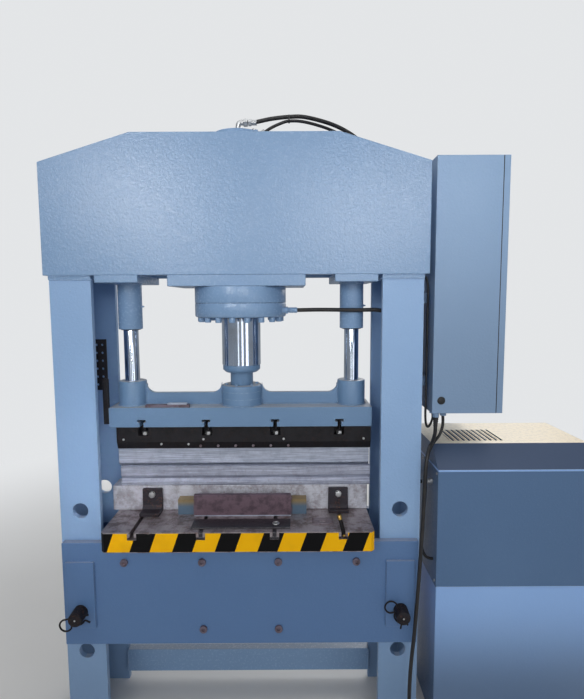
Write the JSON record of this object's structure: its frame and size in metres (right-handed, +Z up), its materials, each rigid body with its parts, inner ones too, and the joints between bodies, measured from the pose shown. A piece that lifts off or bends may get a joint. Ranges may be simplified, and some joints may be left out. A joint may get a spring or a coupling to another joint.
{
  "type": "hydraulic press",
  "caption": "Two-column hydraulic press with a guided ram, bending tools on a pinned height-adjustable bed, a wall cabinet and a separate pump unit.",
  "frame": {"origin": "middle of the press's footprint box, on the floor, without the free supply cable", "axes": "+X to the right along the press towards the power unit, +Y away from the operator, +Z up"},
  "size_m": [2.187, 1.0135, 2.52],
  "materials": {
    "frame_paint": "satin enamel",
    "bed_paint": "satin enamel",
    "cabinet_paint": "satin enamel",
    "cover_paint": "satin enamel",
    "chrome": "polished",
    "tool_steel": "ground",
    "table_steel": "worn and oily",
    "rusty_steel": "scale and light rust",
    "black_steel": "blackened",
    "zinc": "plated",
    "rubber": "matt",
    "plug_plastic": "matt",
    "motor_paint": "matt"
  },
  "bodies": {
    "press": {"left_column_front_plate": "frame_paint", "left_column_rear_plate": "frame_paint", "left_column_web": "frame_paint", "right_column_front_plate": "frame_paint", "right_column_rear_plate": "frame_paint", "right_column_web": "frame_paint", "left_cap_plate": "frame_paint", "right_cap_plate": "frame_paint", "crosshead_front_plate": "frame_paint", "crosshead_rear_plate": "frame_paint", "cylinder_seat_plate": "frame_paint", "left_guide_plate": "frame_paint", "right_guide_plate": "frame_paint", "rear_tie_bar": "frame_paint", "cylinder_barrel": "frame_paint", "cylinder_end_cap": "frame_paint", "cylinder_gland": "frame_paint", "left_guide_housing": "frame_paint", "right_guide_housing": "frame_paint", "switch_bracket": "black_steel", "bed_front_plate": "bed_paint", "bed_rear_plate": "bed_paint", "left_bed_web": "bed_paint", "right_bed_web": "bed_paint", "table_plate": "table_steel", "die_base": "tool_steel", "v_die": "tool_steel", "left_die_clamp": "black_steel", "right_die_clamp": "black_steel", "steel_block": "rusty_steel", "cabinet_shell": "cabinet_paint", "oil_tank": "frame_paint", "pump_cover": "cover_paint", "pump_motor": "motor_paint", "top_fitting": "zinc", "main_hose": "rubber", "pilot_hose": "rubber", "rod_side_hose": "rubber", "control_cable": "rubber", "cabinet_conduit": "rubber", "supply_cable": "rubber", "supply_cable_coil": "rubber", "supply_cable_tail": "rubber", "supply_plug": "plug_plastic"},
    "ram": {"piston_rod": "chrome", "rod_retainer": "frame_paint", "ram_plate": "frame_paint", "left_guide_rod": "chrome", "right_guide_rod": "chrome", "left_guide_boss": "frame_paint", "right_guide_boss": "frame_paint", "tool_holder": "black_steel", "punch": "tool_steel", "switch_bar": "black_steel"},
    "left_pin": {"left_bed_pin": "black_steel", "left_pin_clip": "black_steel"},
    "right_pin": {"right_bed_pin": "black_steel", "right_pin_clip": "black_steel"},
    "door": {"cabinet_door": "cabinet_paint"},
    "lock": {"cabinet_lock": "zinc"}
  },
  "joints": [
    {"name": "ram_slide", "type": "slide", "parent": "press", "child": "ram", "axis": [0, 0, 1], "range_m": [-0.005, 0.165]},
    {"name": "left_pin_slide", "type": "slide", "parent": "press", "child": "left_pin", "axis": [0, -1, 0], "range_m": [0, 0.4]},
    {"name": "right_pin_slide", "type": "slide", "parent": "press", "child": "right_pin", "axis": [0, -1, 0], "range_m": [0, 0.4]},
    {"name": "door_hinge", "type": "hinge", "parent": "press", "child": "door", "pos_m": [0.67335, 0.366, 1.822], "axis": [0, 0, 1], "range_deg": [0, 115]},
    {"name": "lock_turn", "type": "hinge", "parent": "door", "child": "lock", "pos_m": [0.6985, -0.195, 1.822], "axis": [1, 0, 0], "range_deg": [-90, 0]}
  ]
}
